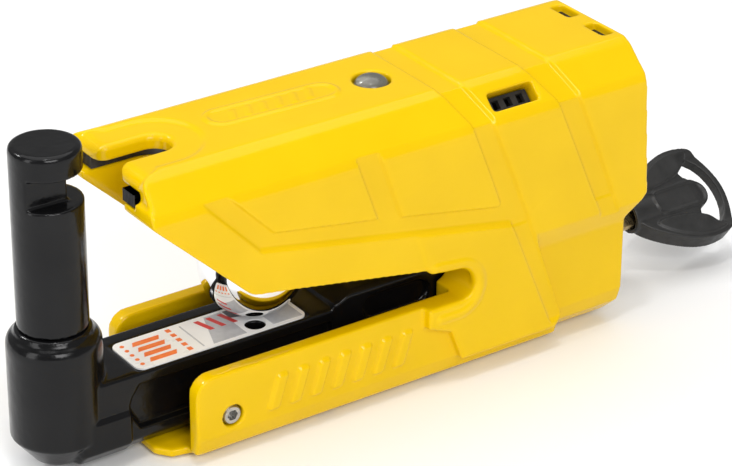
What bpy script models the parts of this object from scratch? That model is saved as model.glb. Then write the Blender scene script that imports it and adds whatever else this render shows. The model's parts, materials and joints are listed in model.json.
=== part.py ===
"""Alarm disc brake lock for a motorcycle, modelled as its separate pieces.

A die-cast housing has an open mouth for the brake disc. An L-shaped bolt, a
beam with an upright post, slides back into the housing, so that the post
passes through the disc and its neck enters the slot in the housing's nose. A
disc cylinder at the rear turns a crank pin, which lowers a latch into the
beam. The upper part of the housing holds the alarm.

Working lengths are millimetres. X runs from the post's axis to the rear, Y
across the lock, and Z up from the underside. The frame's origin lies in the
underside, ORIGIN_X behind the post's axis.
"""

import math

import bmesh
import bpy
from mathutils import Matrix, Vector

MM = 0.001
ORIGIN_X = 70.0
GAP = 0.3  # clearance between touching pieces
SIDES = ((-1, "near"), (1, "far"))
ROUND = 32  # sides of a full-size round piece
FINE = 16  # sides of a small round piece

# Housing
HALF_WIDTH = 18.3
LOWER_HALF = 16.4
FLANK_HALF = 18.6
BEAD_HALF = 19.0
TOP_Z = 61.3
REAR_X = 124.3
REAR_LOW_X = 125.9
LOWER_REAR_X = 121.9
REAR_CORNER = 6.5
NOSE_X = 11.4
NOSE_LOW_Z = 53.6
RAIL_X = 20.5
RAIL_Z = 18.5
RAIL_INNER = 13.2
RAIL_END = 80.5
MOUTH_END = (79.6, 22.2)  # centre of the mouth's round end
MOUTH_R = 3.7
CHANNEL_HALF = 8.75
CHANNEL_FLOOR = 2.0
CHANNEL_ROOF = 22.5
CHANNEL_END = 109.0
SIDE_GROOVE = 0.5
TOP_GROOVES = ((78.4, 83.9), (98.3, 104.7))  # along X
REAR_FOOT_X = 105.8
REAR_FOOT = ((9.0, -0.5), (12.8, 2.1), (15.4, 4.8), (16.4, 8.0), (22.0, 8.0), (22.0, -0.5))  # (y, z)
FLOOR_LIP = ((15.8, -8.0), (15.8, 8.0), (18.0, 11.0), (26.0, 12.5), (26.0, -12.5), (18.0, -11.0))

# Bolt
POST_R = 6.75
POST_TOP = 66.9
NECK_HALF = 3.05
NECK_LOW = 56.0
NECK_HIGH = 62.0
TANG_R = 5.0
TANG_LOW = 10.0
BOSS_R = 9.0
BOSS_TOP = 30.0
BEAM_LOW = 2.4
BEAM_TOP = 19.06
BEAM_HALF = 7.9
GUSSET_HALF = 8.6
BLOCK_HALF = 8.4
BLOCK_TOP = 22.0
BLOCK_X = 57.0
BEAM_END = 85.2
TRAVEL = 21.0
DIMPLE = (41.1, -4.4)
DIMPLE_R = 2.1

# Slot in the nose
SLOT_END = 22.4  # centre of the slot's round end
SLOT_HALF = 3.35
POST_SLOT_HALF = 7.4
PLATE_LOW = 58.0  # underside of the nose's top plate
GUIDE_HALF = 11.2
GUIDE_INNER = 7.0
GUIDE_X = 11.6
GUIDE_LOW = 55.2
GUIDE_HIGH = 57.7

# Dome in the mouth
DOME_X = 43.3
DOME_Z = 30.0
DOME_R = 10.5
DOME_CUT_Z = 36.4
STUD_R = 4.0

# Set screws in the rails
SET_SCREW = (28.5, 8.8)
SET_SCREW_R = 2.0
SET_SCREW_Y = (13.4, 16.0)  # its length, across the rail
SOCKET_Y = 14.4  # floor of the screw's hexagon socket

# Cylinder, key and latch
KEY_Z = 12.6
KEY_TILT = 35.0  # degrees that the key's bow leans from level at rest
CYLINDER_R = 8.2
CYLINDER_X = (110.8, 123.5)
CORE_R = 6.2
CORE_BORE = 5.0
FLANGE_R = 7.0
CRANK_R = 5.1
CRANK_PIN_R = 1.5
BLADE_R = 2.4
BLADE_FLAT = 0.9
BOW_HALF = 2.2  # half the bow's thickness
STEM_R = 3.6
DISC_COUNT = 6
DISC_T = 1.4
LATCH_X = (106.7, 108.4)
TOOTH_X = (94.5, 99.5)
TOOTH_LOW = 22.6
LIMB_LOW = 27.0
LIMB_HIGH = 30.0
LATCH_DROP = 4.4

# Alarm
CAVITY = (54.0, 121.7)
CAVITY_HALF = 12.6
CAVITY_LOW = 36.5
CAVITY_HIGH = 56.0
LED_X = 70.9
BATTERY_R = 7.8
BATTERY_X = (90.5, 117.0)
BATTERY_Y = 4.4
BATTERY_Z = 45.2


# ---------------------------------------------------------------- helpers


def clear_scene():
    """Remove every object of the scene."""
    for item in list(bpy.data.objects):
        bpy.data.objects.remove(item)


def place(x, y, z):
    """Turn working millimetres into the frame's metres."""
    return Vector(((x - ORIGIN_X) * MM, y * MM, z * MM))


def add_object(name, bm):
    """Close a bmesh into a named object whose faces point out."""
    bmesh.ops.recalc_face_normals(bm, faces=bm.faces)
    mesh = bpy.data.meshes.new(name)
    bm.to_mesh(mesh)
    bm.free()
    item = bpy.data.objects.new(name, mesh)
    bpy.context.collection.objects.link(item)
    return item


def prism(name, axis, outline, low, high):
    """Extrude a flat outline from low to high along X, Y or Z.

    The outline's points are (y, z) for X, (x, z) for Y and (x, y) for Z.
    """
    spots = {
        "X": lambda a, b, h: place(h, a, b),
        "Y": lambda a, b, h: place(a, h, b),
        "Z": lambda a, b, h: place(a, b, h),
    }
    steps = {"X": (1, 0, 0), "Y": (0, 1, 0), "Z": (0, 0, 1)}
    bm = bmesh.new()
    corners = [bm.verts.new(spots[axis](a, b, low)) for a, b in outline]
    face = bm.faces.new(corners)
    grown = bmesh.ops.extrude_face_region(bm, geom=[face])
    moved = [v for v in grown["geom"] if isinstance(v, bmesh.types.BMVert)]
    bmesh.ops.translate(bm, verts=moved, vec=Vector(steps[axis]) * (high - low) * MM)
    return add_object(name, bm)


def block(name, x, y, z):
    """A box from its limits along each axis."""
    outline = [(x[0], y[0]), (x[1], y[0]), (x[1], y[1]), (x[0], y[1])]
    return prism(name, "Z", outline, z[0], z[1])


def arc(centre, radius, start, end, steps):
    """Points of an arc in degrees, both ends included."""
    turns = [math.radians(start + (end - start) * i / steps) for i in range(steps + 1)]
    return [(centre[0] + radius * math.cos(t), centre[1] + radius * math.sin(t)) for t in turns]


def rod(name, axis, centre, radius, low, high, sides=ROUND):
    """A round bar along X, Y or Z."""
    outline = arc(centre, radius, 0, 360, sides)[:-1]
    return shade(prism(name, axis, outline, low, high))


def turned(name, x, y, profile, sides=ROUND):
    """Spin (radius, height) points about the upright line at x, y."""
    bm = bmesh.new()
    points = [bm.verts.new(place(x + r, y, z)) for r, z in profile]
    edges = [bm.edges.new(pair) for pair in zip(points, points[1:])]
    bmesh.ops.spin(bm, geom=points + edges, cent=place(x, y, 0), axis=(0, 0, 1),
                   angle=math.tau, steps=sides, use_merge=True, use_duplicate=False)
    bmesh.ops.remove_doubles(bm, verts=bm.verts, dist=1e-6)
    return shade(add_object(name, bm))


def shade(item, angle=32.0):
    """Shade smooth, with edges over the angle kept sharp."""
    item.data.shade_smooth()
    item.data.set_sharp_from_angle(angle=math.radians(angle))
    return item


def bake(item):
    """Replace an object's mesh with the one its modifiers make."""
    bpy.context.view_layer.update()
    seen = item.evaluated_get(bpy.context.evaluated_depsgraph_get())
    mesh = bpy.data.meshes.new_from_object(seen)
    item.modifiers.clear()
    item.data = mesh
    return item


def combine(item, tool, operation):
    """Boolean a tool into an object and remove the tool."""
    step = item.modifiers.new(operation, "BOOLEAN")
    step.operation = operation
    step.solver = "EXACT"
    step.object = tool
    bake(item)
    bpy.data.objects.remove(tool)
    return item


def cut(item, *tools):
    """Cut each tool out of an object."""
    for tool in tools:
        combine(item, tool, "DIFFERENCE")
    return item


def join(item, *tools):
    """Join each tool to an object."""
    for tool in tools:
        combine(item, tool, "UNION")
    return item


def bevel(item, width, segments=2, angle=40.0):
    """Round the edges that turn by more than the angle."""
    step = item.modifiers.new("edge", "BEVEL")
    step.width = width * MM
    step.segments = segments
    step.limit_method = "ANGLE"
    step.angle_limit = math.radians(angle)
    step.use_clamp_overlap = True
    return shade(bake(item))


def spin_about_key(item, degrees):
    """Turn an object's mesh about the key's axis."""
    axis = place(0, 0, KEY_Z)
    turn = Matrix.Rotation(math.radians(degrees), 4, "X")
    item.data.transform(Matrix.Translation(axis) @ turn @ Matrix.Translation(-axis))
    return item


def material(name, colour, roughness, metallic=0.0):
    """A Principled material."""
    made = bpy.data.materials.new(name)
    made.use_nodes = True
    shader = made.node_tree.nodes["Principled BSDF"]
    shader.inputs["Base Color"].default_value = (*colour, 1.0)
    shader.inputs["Roughness"].default_value = roughness
    shader.inputs["Metallic"].default_value = metallic
    return made


def finish(item, made):
    """Give an object its material."""
    item.data.materials.clear()
    item.data.materials.append(made)
    return item


def hang(name, spot, items):
    """Parent pieces to an empty on their joint's axis."""
    empty = bpy.data.objects.new(name, None)
    empty.location = spot
    bpy.context.collection.objects.link(empty)
    bpy.context.view_layer.update()
    for item in items:
        item.parent = empty
        item.matrix_parent_inverse = empty.matrix_world.inverted()
    return empty


# ---------------------------------------------------------------- housing


def housing_profile():
    """The housing's side outline, with the mouth between nose and rails."""
    return [
        (RAIL_X + 2.5, 0.0),
        *arc((LOWER_REAR_X - REAR_CORNER, REAR_CORNER), REAR_CORNER, -90, 0, 6),
        (LOWER_REAR_X, 24.4),
        (REAR_LOW_X, 29.2),
        (REAR_X, 56.0),
        (REAR_X, TOP_Z + 1.5),
        (18.0, TOP_Z + 1.5),
        (12.9, TOP_Z - 0.3),
        (NOSE_X, TOP_Z - 2.2),
        (NOSE_X, NOSE_LOW_Z),
        *arc((34.4, 38.9), 5.0, 225, 261, 3),
        (41.6, 32.7),
        *arc(MOUTH_END, MOUTH_R, 80, -90, 8),
        *arc((RAIL_X + 4.0, RAIL_Z - 4.0), 4.0, 90, 180, 4),
        (RAIL_X, 2.5),
    ]


def housing_section():
    """The housing's end outline, with sloping shoulders and a narrower foot."""
    half = [
        (11.3, -1.0),
        (15.5, 2.3),
        (LOWER_HALF, 5.5),
        (LOWER_HALF, 23.2),
        (HALF_WIDTH, 27.8),
        (HALF_WIDTH, 54.0),
        (17.7, 55.7),
        (12.6, 60.4),
        (10.6, TOP_Z),
    ]
    return half + [(-y, z) for y, z in reversed(half)]


def flank_outline():
    """The raised side around the mouth's end, as (x, z)."""
    mouth = arc(MOUTH_END, MOUTH_R, -90, 80, 8)
    return [
        (69.2, 35.4), (92.5, 32.0), (98.0, 28.0), (105.2, 7.2), (103.5, 5.2), (80.4, 5.2),
        (77.7, 12.2), (72.2, 14.4), (72.2, RAIL_Z), *mouth, (72.2, 27.5),
    ]


def bead_outline():
    """The bead that runs around the mouth's end, as (x, z)."""
    mouth = arc(MOUTH_END, MOUTH_R, -90, 80, 8)
    return [
        (72.2, 28.9), (83.4, 27.0), (85.6, 25.0), (86.1, 19.8), (84.8, 16.6), (82.0, 14.6),
        (74.6, 13.3), (72.4, 15.0), (72.4, RAIL_Z), *mouth, (72.2, 27.5),
    ]


def slot_outline(half_width, start=4.0):
    """A slot open at the front with a round end, seen from above."""
    return [(start, -half_width), *arc((SLOT_END, 0), half_width, -90, 90, 12), (start, half_width)]


def octagon(half, low, high, corner):
    """A (y, z) rectangle with its corners cut off."""
    return [
        (-half + corner, low), (half - corner, low), (half, low + corner),
        (half, high - corner), (half - corner, high), (-half + corner, high),
        (-half, high - corner), (-half, low + corner),
    ]


def shoulder_box(name, x, width, deep, proud):
    """A box that sinks square into the near shoulder's slope."""
    slope = math.atan2(60.4 - 55.7, 17.7 - 12.6)
    middle = (-15.4, 57.8)
    along = (math.cos(slope), math.sin(slope))
    out = (-math.sin(slope), math.cos(slope))
    corners = []
    for a, b in ((-0.5, proud), (0.5, proud), (0.5, -deep), (-0.5, -deep)):
        y = middle[0] + a * width * along[0] + b * out[0]
        z = middle[1] + a * width * along[1] + b * out[1]
        corners.append((y, z))
    return prism(name, "X", corners, x[0], x[1])


def add_flanks(body):
    """Raise the sides behind the mouth, and cut the rear's lower edges."""
    for side in (-1, 1):
        for outline, half in ((flank_outline(), FLANK_HALF), (bead_outline(), BEAD_HALF)):
            low, high = sorted((side * 14.0, side * half))
            join(body, prism("flank", "Y", outline, low, high))
        foot = [(side * y, z) for y, z in REAR_FOOT]
        cut(body, prism("rear_edge", "X", foot, REAR_FOOT_X, 130))


def hollow_bolt_way(body):
    """Cut the bolt's channel, the slots in the nose, and the rooms along them."""
    channel = (-CHANNEL_HALF, CHANNEL_HALF)
    between = (-RAIL_INNER, RAIL_INNER)
    cut(body,
        block("rail_gap", (5, RAIL_END), between, (CHANNEL_FLOOR, RAIL_Z + 2)),
        block("channel", (5, CHANNEL_END), channel, (CHANNEL_FLOOR, CHANNEL_ROOF)),
        rod("cylinder_bore", "X", (0, KEY_Z), CYLINDER_R + GAP, CHANNEL_END - 1, 130),
        prism("neck_slot", "Z", slot_outline(SLOT_HALF), 50, 70),
        prism("post_slot", "Z", slot_outline(POST_SLOT_HALF), 25, PLATE_LOW - 1),
        prism("guide_pocket", "Z", slot_outline(GUIDE_HALF + GAP),
              GUIDE_LOW - GAP, PLATE_LOW),
        rod("dome_recess", "Z", (DOME_X, 0), DOME_R + 0.8, 22, DOME_CUT_Z + GAP),
        rod("dome_bore", "Z", (DOME_X, 0), STUD_R + GAP, 30, 48),
        block("latch_chamber", (TOOTH_X[0] - 0.4, CHANNEL_END), (-4.4, 4.4), (20, 33.3)))


def hollow_alarm_room(body):
    """Cut the alarm's cavity, its openings, and the bores for pins and screws."""
    wide = octagon(CAVITY_HALF, CAVITY_LOW, CAVITY_HIGH, 1.5)
    rear = octagon(CAVITY_HALF, CAVITY_LOW, CAVITY_HIGH, 5)
    cut(body,
        prism("cavity", "X", wide, CAVITY[0], 113),
        prism("cavity", "X", rear, 112, CAVITY[1]),
        prism("rebate", "X", octagon(13.8, 34.6, 57.2, 1.6), CAVITY[1] - 0.5, 130),
        rod("led_hole", "Z", (LED_X, 0), 3.8, 50, 70, 24),
        shoulder_box("siren_window", (87.9, 98.6), 3.9, 5.0, 3.0),
        rod("stop_bore", "Z", (80.0, 0), 1.5 + GAP, -2, 3, FINE),
        rod("retainer_bore", "Z", (115.5, 0), 1.25 + GAP, -2, 6, FINE),
        rod("set_screw_bores", "Y", SET_SCREW, SET_SCREW_R + GAP, -25, 25, FINE),
        rod("sensor_bore", "Z", (103.0, 6.4), 1.8, 20, 38, FINE))
    for side in (-1, 1):
        cut(body, vent_box("vent", side, 59.0, 63.0),
            block("vent_throat", (120.9, 121.7), near_vent(side, 2.0), (55.0, 60.0)))
        for z in (38.3, 54.2):
            cut(body, rod("screw_bore", "X", (side * 11.1, z), 1.1 + GAP, 117, 126, FINE))


def make_housing(paint):
    """The one-piece housing with its channel, slot, cavity and bores."""
    body = prism("housing", "Y", housing_profile(), -HALF_WIDTH - 2, HALF_WIDTH + 2)
    combine(body, prism("section", "X", housing_section(), 0, 140), "INTERSECT")
    add_flanks(body)
    join(body, prism("floor_lip", "Z", FLOOR_LIP, 0.4, CHANNEL_FLOOR + 0.1))
    hollow_bolt_way(body)
    hollow_alarm_room(body)
    for x in TOP_GROOVES:
        cut(body, block("top_groove", x, (-14, 14), (TOP_Z - 0.9, TOP_Z + 2)))
    for side in (-1, 1):
        cut(body, *side_grooves(side))
    return finish(shade(body), paint)


def near_vent(side, half):
    """Limits across the lock of a rear vent."""
    return (side * 5.4 - half, side * 5.4 + half)


def vent_box(name, side, low, high, inset=0.0):
    """A rear vent's pocket, or the smaller piece that fills it."""
    return block(name, (120.6 + inset, 123.4 - inset), near_vent(side, 3.0 - inset), (low, high))


def side_grooves(side):
    """The shallow frame around the side's panels, and the strap behind it."""
    low, high = sorted((side * (HALF_WIDTH - SIDE_GROOVE), side * (HALF_WIDTH + 2)))
    frame = prism("frame", "Y", [(21.9, 55.2), (34.0, 42.9), (88.8, 32.6), (95.8, 32.4),
                                 (92.3, 41.3), (86.6, 55.2)], low, high)
    panels = (
        [(26.4, 57.0), (36.9, 45.8), (60.1, 41.9), (54.7, 57.0)],
        [(59.6, 57.0), (65.6, 40.8), (89.2, 36.6), (81.2, 57.0)],
    )
    strap = [(101.7, 57.0), (113.9, 28.4), (118.3, 28.4), (106.7, 57.0)]
    cut(frame, *[prism("panel", "Y", outline, -30, 30) for outline in panels])
    return [frame, prism("strap", "Y", strap, low, high)]


def make_neck_guide(steel):
    """The hardened fork under the nose's top plate."""
    outline = [
        (GUIDE_X, -GUIDE_HALF),
        *arc((SLOT_END, 0), GUIDE_HALF, -90, 90, 12),
        (GUIDE_X, GUIDE_HALF),
        (GUIDE_X, GUIDE_INNER),
        *arc((SLOT_END, 0), GUIDE_INNER, 90, -90, 12),
        (GUIDE_X, -GUIDE_INNER),
    ]
    return finish(shade(prism("neck_guide", "Z", outline, GUIDE_LOW, GUIDE_HIGH)), steel)


def make_dome(chrome):
    """The polished dome that the disc's rim runs up against."""
    rise = math.degrees(math.asin((DOME_CUT_Z - DOME_Z) / DOME_R))
    bowl = arc((0, DOME_Z), DOME_R, rise, -90, 12)
    profile = [(0.0, 47.0), (STUD_R - 0.4, 47.0), (STUD_R, 46.6), (STUD_R, DOME_CUT_Z)] + bowl
    profile[-1] = (0.0, DOME_Z - DOME_R)
    return finish(turned("disc_stop_dome", DOME_X, 0, profile), chrome)


def make_set_screws(steel):
    """The two socket set screws in the rails."""
    for side, name in SIDES:
        low, high = sorted(side * y for y in SET_SCREW_Y)
        screw = rod("set_screw_" + name, "Y", SET_SCREW, SET_SCREW_R, low, high, FINE)
        deep, mouth = sorted((side * SOCKET_Y, side * 20.0))
        cut(screw, rod("socket", "Y", SET_SCREW, 1.1, deep, mouth, 6))
        finish(shade(screw), steel)


# ---------------------------------------------------------------- bolt


def beam_section(half, top, chamfer):
    """A beam's (y, z) outline with chamfered lower edges."""
    return [
        (half - 2.4, BEAM_LOW), (half, BEAM_LOW + 2.6), (half, top - chamfer),
        (half - chamfer, top), (chamfer - half, top), (-half, top - chamfer),
        (-half, BEAM_LOW + 2.6), (2.4 - half, BEAM_LOW),
    ]


def make_block():
    """The beam's thicker rear block, with a ramp at its front."""
    body = prism("rear_block", "X", beam_section(BLOCK_HALF, BLOCK_TOP, 0.8), BLOCK_X, BEAM_END)
    ramp = [(BLOCK_X - 2, BEAM_TOP - 0.4), (BLOCK_X - 2, 30), (64, 30), (61.5, BLOCK_TOP + 0.4)]
    cut(body, prism("ramp", "Y", ramp, -20, 20))
    for side in (-1, 1):
        outline = [(BLOCK_X - 2, side * 7.6), (61.5, side * 9), (61.5, side * 14), (50, side * 14)]
        pill = [*arc((66.3, 17.0), 2.6, 90, 270, 8), *arc((76.5, 17.0), 2.6, -90, 90, 8)]
        low, high = sorted((side * (BLOCK_HALF - 0.7), side * 12))
        cut(body, prism("flare", "Z", outline, 0, 30), prism("pill", "Y", pill, low, high))
    return body


def make_beam(paint):
    """The bolt's beam: boss, flanged beam, rear block, notch and groove."""
    boss = [
        (0.0, BEAM_LOW), (4.8, BEAM_LOW), (BOSS_R, 7.6), (BOSS_R, 26.4), (8.7, 27.9),
        (8.1, 29.0), (7.3, 29.8), (6.9, BOSS_TOP), (0.0, BOSS_TOP),
    ]
    body = turned("bolt_beam", 0, 0, list(reversed(boss)))
    join(body, prism("beam", "X", beam_section(BEAM_HALF, BEAM_TOP, 0.5), 0.5, BLOCK_X + 3),
         prism("gusset", "X", beam_section(GUSSET_HALF, 12.0, 1.0), 0.7, 11.0))
    join(body, make_block())
    for side in (-1, 1):
        low, high = sorted((side * 5.6, side * 15.0))
        outline = [(11.6, 7.0), (BLOCK_X - 0.4, 7.0), (BLOCK_X - 0.4, 16.6), (11.6, 16.6)]
        cut(body, prism("side_recess", "Y", outline, low, high))
    notch = (TOOTH_X[0] - TRAVEL - 0.7, TOOTH_X[1] - TRAVEL + 0.7)
    cut(body,
        rod("tang_bore", "Z", (0, 0), TANG_R + GAP, TANG_LOW - GAP, 40),
        block("latch_notch", notch, (-4.7, 4.7), (TOOTH_LOW - LATCH_DROP - 0.4, 30)),
        block("stop_groove", (80.0 - TRAVEL - 2.0, 82.0), (-2.0, 2.0), (0, 5.6)),
        block("label_recess", (13.6, 51.6), (-7.3, 4.1), (BEAM_TOP - 0.5, 30)),
        rod("dimple", "Z", DIMPLE, DIMPLE_R, BEAM_TOP - 3, 30, FINE),
        rod("magnet_bore", "Z", (82.0, 6.4), 1.5 + GAP, 18.5, 30, FINE))
    return finish(shade(body), paint)


def make_post(paint):
    """The hardened post with its flatted neck and its tang."""
    profile = [
        (0.0, POST_TOP), (POST_R - 0.8, POST_TOP), (POST_R - 0.2, POST_TOP - 0.3),
        (POST_R, POST_TOP - 1.0), (POST_R, BOSS_TOP + GAP), (TANG_R, BOSS_TOP + GAP),
        (TANG_R, TANG_LOW + 0.6), (TANG_R - 0.6, TANG_LOW), (0.0, TANG_LOW),
    ]
    post = turned("bolt_post", 0, 0, profile, 40)
    for side in (-1, 1):
        y = sorted((side * NECK_HALF, side * 12))
        cut(post, block("flat", (-12, 12), y, (NECK_LOW, NECK_HIGH)))
    cut(post, block("front_flat", (2.6, 12), (-12, 12), (NECK_LOW, NECK_HIGH)))
    return finish(shade(post), paint)


def make_label(print_white):
    """The label on the beam, with a hole over the dimple."""
    outline = [
        *arc((15.6, -5.3), 1.7, 180, 270, 3), *arc((49.6, -5.3), 1.7, -90, 0, 3),
        *arc((49.6, 2.1), 1.7, 0, 90, 3), *arc((15.6, 2.1), 1.7, 90, 180, 3),
    ]
    label = prism("beam_label", "Z", outline, BEAM_TOP - 0.2, BEAM_TOP + 0.1)
    cut(label, rod("hole", "Z", DIMPLE, DIMPLE_R, 15, 22, FINE))
    return finish(shade(label), print_white)


# ---------------------------------------------------------------- cylinder


def key_section(radius, flat):
    """A round key section with a flat on one side, as (y, z)."""
    low = math.degrees(math.asin(flat / radius))
    return [(y, z) for y, z in arc((0, KEY_Z), radius, 180 - low, 360 + low, 14)]


def make_cylinder_body(steel):
    """The fixed outer tube of the cylinder."""
    body = rod("cylinder_body", "X", (0, KEY_Z), CYLINDER_R, *CYLINDER_X)
    cut(body,
        rod("bore", "X", (0, KEY_Z), CORE_R + GAP, 100, 130),
        rod("pin_hole", "Z", (115.5, 0), 1.25 + GAP, 0, 5.6, FINE))
    return finish(shade(body), steel)


def make_core(steel):
    """The turning core: flange, crank pin and slotted tube."""
    core = rod("cylinder_core", "X", (0, KEY_Z), CORE_R, 109.8, 122.6)
    join(core, rod("flange", "X", (0, KEY_Z), FLANGE_R, 109.3, 110.5))
    turn = math.radians(180.0 - 10.0)
    pin = (CRANK_R * math.cos(turn), KEY_Z + CRANK_R * math.sin(turn))
    join(core, rod("crank_pin", "X", pin, CRANK_PIN_R, 106.3, 109.8, FINE))
    cut(core, rod("disc_bore", "X", (0, KEY_Z), CORE_BORE, 111.4, 130),
        block("sidebar_slot", (112.0, 121.4), (-0.9, 0.9), (KEY_Z, KEY_Z + 12)))
    return finish(shade(core), steel)


def make_discs(brass):
    """The locking discs, each with the key's hole and an edge notch."""
    discs = []
    for i in range(DISC_COUNT):
        x = 111.9 + i * (DISC_T + GAP)
        disc = rod(f"locking_disc_{i + 1}", "X", (0, KEY_Z), CORE_BORE - GAP, x, x + DISC_T, 24)
        hole = prism("key_hole", "X", key_section(BLADE_R + GAP, BLADE_FLAT + GAP), x - 1, x + 3)
        notch = block("notch", (x - 1, x + 3), (-0.8, 0.8), (KEY_Z + 4.1, KEY_Z + 6))
        cut(disc, spin_about_key(hole, KEY_TILT), notch)
        discs.append(finish(shade(disc), brass))
    return discs


def make_sidebar(steel):
    """The bar that drops into the discs' notches to free the core."""
    return finish(block("sidebar", (112.4, 121.0), (-0.5, 0.5), (KEY_Z + 4.4, KEY_Z + 6.0)), steel)


def make_face_ring(steel):
    """The ring at the core's mouth, around the key."""
    ring = rod("core_face_ring", "X", (0, KEY_Z), CORE_R, 122.9, 124.2, 24)
    hole = prism("key_hole", "X", key_section(BLADE_R + GAP, BLADE_FLAT + GAP), 120, 130)
    cut(ring, spin_about_key(hole, KEY_TILT))
    return finish(shade(ring), steel)


def make_latch(steel):
    """The latch: tooth and limb above the beam, and the cranked plate."""
    tooth_side = [
        (TOOTH_X[0], TOOTH_LOW + 0.6), (TOOTH_X[0] + 0.6, TOOTH_LOW),
        (TOOTH_X[1], TOOTH_LOW), (TOOTH_X[1], LIMB_LOW), (LATCH_X[1], LIMB_LOW),
        (LATCH_X[1], LIMB_HIGH), (TOOTH_X[0], LIMB_HIGH),
    ]
    latch = prism("latch", "Y", tooth_side, -4.0, 4.0)
    plate = [(-8.2, 9.2), (-2.2, 9.2), (3.4, 15.0), (3.4, LIMB_HIGH - 1), (-3.4, LIMB_HIGH - 1),
             (-3.4, 19.4), (-8.2, 19.0)]
    join(latch, prism("plate", "X", plate, *LATCH_X))
    slot_z = KEY_Z + CRANK_R * math.sin(math.radians(10.0))
    half = CRANK_PIN_R + 0.45
    slot = [*arc((-5.3, slot_z), half, 90, 270, 6), *arc((-3.3, slot_z), half, -90, 90, 6)]
    cut(latch, prism("crank_slot", "X", slot, 100, 112))
    return finish(shade(latch), steel)


def make_retainer(steel):
    """The pin that keeps the cylinder in the housing."""
    return finish(rod("cylinder_retainer", "Z", (115.5, 0), 1.25, 0.4, 5.2, FINE), steel)


def make_stop_pin(steel):
    """The pin in the channel floor that limits the bolt's travel."""
    return finish(rod("travel_stop_pin", "Z", (80.0, 0), 1.5, 0.4, 5.0, FINE), steel)


# ---------------------------------------------------------------- key


def make_key_blade(metal):
    """The round key blade with its flat and a shoulder."""
    blade = prism("key_blade", "X", key_section(BLADE_R, BLADE_FLAT), 112.2, 142.0)
    for i in range(DISC_COUNT):
        x = 112.3 + i * (DISC_T + GAP)
        depth = 0.35 + 0.3 * ((i * 2) % 3)
        cut(blade, block("bit", (x, x + 1.1), (BLADE_R - depth, 5), (KEY_Z - 4, KEY_Z + 4)))
    return finish(spin_about_key(shade(blade), KEY_TILT), metal)


def mirrored(half):
    """Close a half outline by its mirror image across the key's middle."""
    return half + [(x, -w) for x, w in reversed(half) if abs(w) > 0.01]


def bow_outline():
    """The bow's outer outline from above, a rounded triangle."""
    return mirrored([
        (136.8, 2.4), (138.3, 4.3), (140.3, 5.9), (142.6, 7.4), (145.2, 8.8), (148.0, 10.0),
        (151.0, 10.8), (154.0, 10.9), (156.6, 10.5), (158.2, 9.8), (159.2, 8.2), (160.2, 6.0),
        (161.0, 3.6), (161.4, 1.4), (161.5, 0.0),
    ])


def bow_window():
    """The curved finger window around the bow's tongue."""
    tongue = arc((154.3, 0.0), 3.3, 0, 90, 6)
    ring = [(160.0, 0.0), (159.8, 2.2), (159.2, 4.3), (158.1, 6.2), (156.7, 7.4)]
    side = [(153.0, 5.3), (153.2, 4.0)]
    half = ring + side + list(reversed(tongue))
    return half + [(x, -w) for x, w in reversed(half[1:-1])]


def wing_pad(side):
    """The raised lens-shaped pad of one wing."""
    return [
        (140.6, side * 4.0), (143.8, side * 3.6), (147.9, side * 4.0), (151.8, side * 4.9),
        (155.0, side * 6.8), (157.3, side * 9.3), (154.0, side * 10.0), (151.0, side * 9.9),
        (147.8, side * 9.1), (144.0, side * 7.2), (141.6, side * 5.4),
    ]


def make_key_bow(plastic):
    """The key's moulded bow, with its curved finger window."""
    bow = prism("key_bow", "Z", bow_outline(), KEY_Z - BOW_HALF, KEY_Z + BOW_HALF)
    cut(bow, prism("window", "Z", bow_window(), 0, 30))
    bevel(bow, 0.6, 1)
    raised = (KEY_Z - BOW_HALF - 0.4, KEY_Z + BOW_HALF + 0.4)
    for side in (-1, 1):
        join(bow, prism("pad", "Z", wing_pad(side), *raised))
    join(bow, rod("stem", "X", (0, KEY_Z), STEM_R, 136.2, 143.0, 24))
    section = arc((0, KEY_Z), BLADE_R + GAP, 0, 360, 20)[:-1]
    cut(bow, prism("socket", "X", section, 130, 142.4))
    return finish(spin_about_key(shade(bow), KEY_TILT), plastic)


# ---------------------------------------------------------------- alarm


def make_led(lens_glass, chip_white):
    """The status light and its domed lens."""
    lens_profile = [(0.0, TOP_Z + 0.9), (1.7, TOP_Z + 0.6), (2.9, TOP_Z - 0.1), (3.4, TOP_Z - 1.2),
                    (3.4, 57.4), (0.0, 57.4)]
    lens = turned("led_lens", LED_X, 0, lens_profile, 24)
    lamp = turned("led", LED_X, 0, [(0.0, 57.0), (0.9, 56.7), (1.5, 55.9), (1.5, 54.5), (0.0, 54.5)],
                  FINE)
    finish(lens, lens_glass)
    finish(lamp, chip_white)


def make_board(green, black):
    """The circuit board and the parts under it."""
    board = block("circuit_board", (56.5, 86.5), (-11.0, 11.0), (52.3, 53.9))
    for x in (59.5, 83.5):
        cut(board, rod("hole", "Z", (x, 7.6), 1.1, 50, 56, FINE))
    finish(board, green)
    for part in (
        block("processor", (61, 68), (-7, 0), (50.3, 52.0)),
        block("motion_sensor", (72, 76), (1, 5), (50.8, 52.0)),
        block("siren_driver", (78, 82), (-6, -1), (50.6, 52.0)),
        rod("capacitor", "Z", (65.5, 5.5), 2.5, 46.5, 52.0, FINE),
        rod("coil", "Z", (73.0, -6.5), 2.2, 48.0, 52.0, FINE),
    ):
        finish(part, black)


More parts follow.
